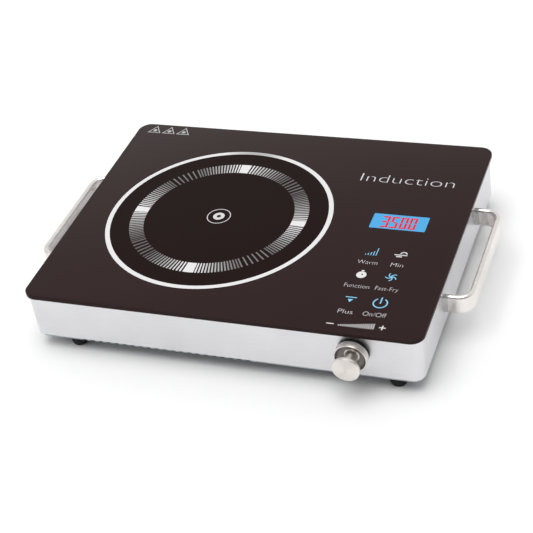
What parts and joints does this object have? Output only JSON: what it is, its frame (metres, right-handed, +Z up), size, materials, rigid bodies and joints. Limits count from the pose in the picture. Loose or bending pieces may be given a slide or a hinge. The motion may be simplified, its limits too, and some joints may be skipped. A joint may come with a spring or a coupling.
{
  "type": "induction cooktop",
  "caption": "Portable induction hob: dark glass plate on a flat steel casing, D-shaped side handles, a spool-shaped front knob, rubber feet and an inner coil, boards and fan.",
  "frame": {"origin": "on the table under the middle of the whole outline, between the handles left to right and between the knob face and the cord gland front to back", "axes": "+Z up, +Y to the back, +X to the right as the user faces the knob"},
  "size_m": [0.4072, 0.3082, 0.06],
  "materials": {
    "black_glass": "polished glass-ceramic, black underneath",
    "black_plastic": "moulded",
    "black_rubber": "matt moulded",
    "black_silicone": "matt",
    "brass_stud": "turned",
    "brushed_shell": "fine brushed stainless sheet",
    "capacitor_case": "moulded case",
    "capacitor_sleeve": "shrink sleeve",
    "circuit_board": "solder mask",
    "copper_wire": "enamelled copper strand",
    "display_panel": "back-lit liquid crystal",
    "extruded_aluminium": "extruded",
    "ferrite": "sintered",
    "fuse_glass": "glass tube",
    "glass_bead": "glass coated bead",
    "lead_sleeve": "silicone sleeve",
    "mica": "pressed sheet",
    "nylon": "moulded nylon",
    "plated_steel": "zinc plated",
    "satin_steel": "satin polished",
    "spring_steel": "drawn wire",
    "spun_aluminium": "turned, with a spun face",
    "transformer_tape": "polyester tape",
    "white_silicone": "moulded",
    "zinc_sheet": "galvanised sheet"
  },
  "bodies": {
    "casing": {"aux_transformer": "transformer_tape", "board_pillars": "plated_steel", "board_plugs": "nylon", "board_screws": "plated_steel", "body_shell": "brushed_shell", "bottom_cover": "zinc_sheet", "bridge_rectifier": "black_plastic", "bulk_capacitors": "capacitor_sleeve", "coil_holder": "nylon", "coil_leads": "lead_sleeve", "coil_posts": "nylon", "coil_screws": "plated_steel", "coil_springs": "spring_steel", "coil_terminals": "brass_stud", "coil_winding": "copper_wire", "control_board": "circuit_board", "control_tray": "nylon", "cord_gland": "black_plastic", "corner_posts": "plated_steel", "cover_screws": "plated_steel", "display_module": "display_panel", "encoder_board": "circuit_board", "encoder_body": "plated_steel", "encoder_nut": "plated_steel", "fan_frame": "black_plastic", "fan_stator": "copper_wire", "ferrite_bars": "ferrite", "ferrule_left_back": "satin_steel", "ferrule_left_front": "satin_steel", "ferrule_right_back": "satin_steel", "ferrule_right_front": "satin_steel", "film_capacitors": "capacitor_case", "filter_choke": "ferrite", "foot_back_left": "black_rubber", "foot_back_right": "black_rubber", "foot_front_left": "black_rubber", "foot_front_right": "black_rubber", "foot_screws": "plated_steel", "gland_nut": "black_plastic", "glass_seal": "black_silicone", "glass_top": "black_glass", "handle_left": "satin_steel", "handle_right": "satin_steel", "handle_screws": "plated_steel", "heatsink": "extruded_aluminium", "knob_bezel": "black_plastic", "mains_fuse": "fuse_glass", "mica_sheet": "mica", "power_board": "circuit_board", "power_transistors": "black_plastic", "supply_leads": "lead_sleeve", "terminal_block": "nylon", "thermistor": "glass_bead", "thermistor_holder": "white_silicone", "touch_springs": "spring_steel"},
    "control_knob": {"knob": "spun_aluminium", "knob_index": "black_plastic", "knob_insert": "black_plastic", "encoder_shaft": "plated_steel"},
    "fan_wheel": {"fan_rotor": "black_plastic"}
  },
  "joints": [
    {"name": "knob_turn", "type": "hinge", "parent": "casing", "child": "control_knob", "pos_m": [0.1207, -0.1305, 0.0396], "axis": [0, 1, 0], "continuous": true},
    {"name": "fan_spin", "type": "hinge", "parent": "casing", "child": "fan_wheel", "pos_m": [0.1038, 0.0791, 0.0113], "axis": [0, 0, 1], "continuous": true}
  ]
}
